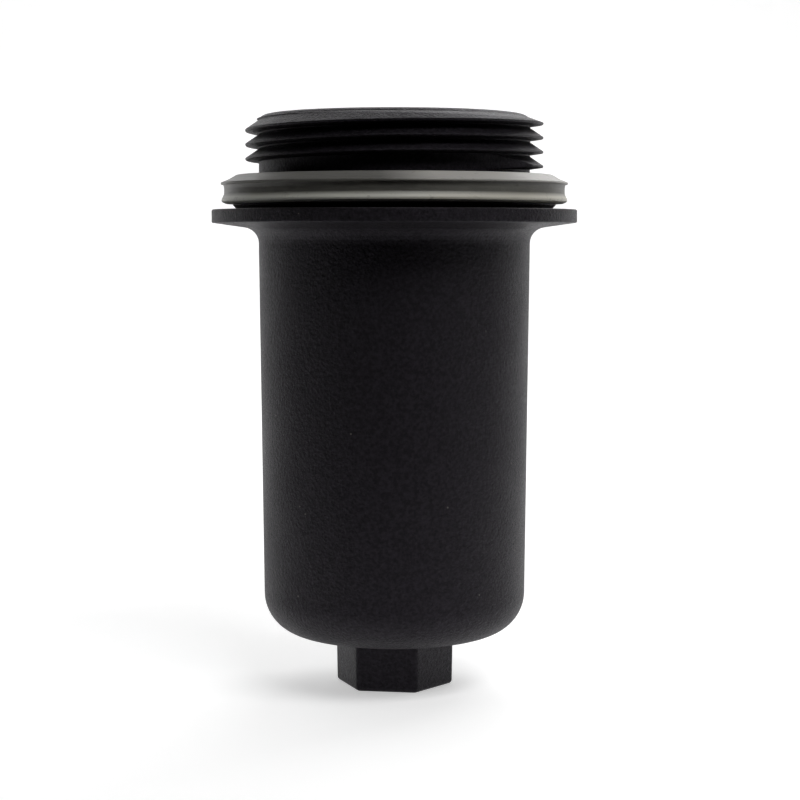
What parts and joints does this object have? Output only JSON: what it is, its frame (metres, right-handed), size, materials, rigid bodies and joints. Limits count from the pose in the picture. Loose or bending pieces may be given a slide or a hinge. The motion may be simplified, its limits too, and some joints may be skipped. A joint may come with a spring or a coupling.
{
  "type": "oil filter",
  "caption": "Screw-on cartridge oil filter: black moulded bowl with hex drive, flange, profile seal ring and external buttress thread, with a sprung pleated element and bypass valve inside.",
  "frame": {"origin": "centre of the hex drive's end face, on which the bowl stands", "axes": "+Z along the bowl's axis, from the hex drive to the thread; +X and +Y across it"},
  "size_m": [0.0846, 0.0846, 0.133],
  "materials": {
    "black_nylon": "matte, fine mineral grain",
    "olive_seal": "satin, slightly waxy",
    "zinc_steel": "zinc plated, dull",
    "spring_steel": "drawn wire, oiled",
    "cap_steel": "tinned sheet, satin",
    "tube_steel": "perforated sheet, satin",
    "clip_steel": "satin",
    "potting": "cured plastisol, satin",
    "filter_paper": "resin-cured paper, matte",
    "glue": "hot-melt bead, satin",
    "black_rubber": "moulded, satin",
    "flap_rubber": "silicone sheet, satin",
    "valve_plastic": "moulded nylon, satin"
  },
  "bodies": {
    "housing": {"housing_bowl": "black_nylon", "spring_seat_washer": "zinc_steel", "element_spring": "spring_steel"},
    "seal_ring": {"flange_seal_ring": "olive_seal"},
    "spring_plate": {"spring_cup": "zinc_steel"},
    "cartridge": {"lower_end_cap": "cap_steel", "upper_end_cap": "cap_steel", "lower_potting": "potting", "upper_potting": "potting", "pleated_media": "filter_paper", "media_seam_clip": "clip_steel", "pleat_spacing_beads": "glue", "centre_tube": "tube_steel", "upper_port_seal": "black_rubber", "anti_drain_flap": "flap_rubber", "valve_body": "zinc_steel", "valve_spring": "spring_steel", "valve_retainer": "zinc_steel"},
    "bypass_valve": {"valve_poppet": "valve_plastic", "valve_disc_seal": "black_rubber"}
  },
  "joints": [
    {"name": "seal_ring_removal", "type": "slide", "parent": "housing", "child": "seal_ring", "axis": [0, 0, 1], "range_m": [0, 0.03]},
    {"name": "spring_plate_travel", "type": "slide", "parent": "housing", "child": "spring_plate", "axis": [0, 0, 1], "range_m": [-0.004, 0], "stiffness_N_per_m": 3000, "springref_m": 0.0015, "deforming": ["element_spring"]},
    {"name": "cartridge_removal", "type": "slide", "parent": "spring_plate", "child": "cartridge", "axis": [0, 0, 1], "range_m": [0, 0.12]},
    {"name": "bypass_valve_lift", "type": "slide", "parent": "cartridge", "child": "bypass_valve", "axis": [0, 0, 1], "range_m": [0, 0.0035], "stiffness_N_per_m": 2000, "springref_m": -0.005, "deforming": ["valve_spring"]}
  ]
}
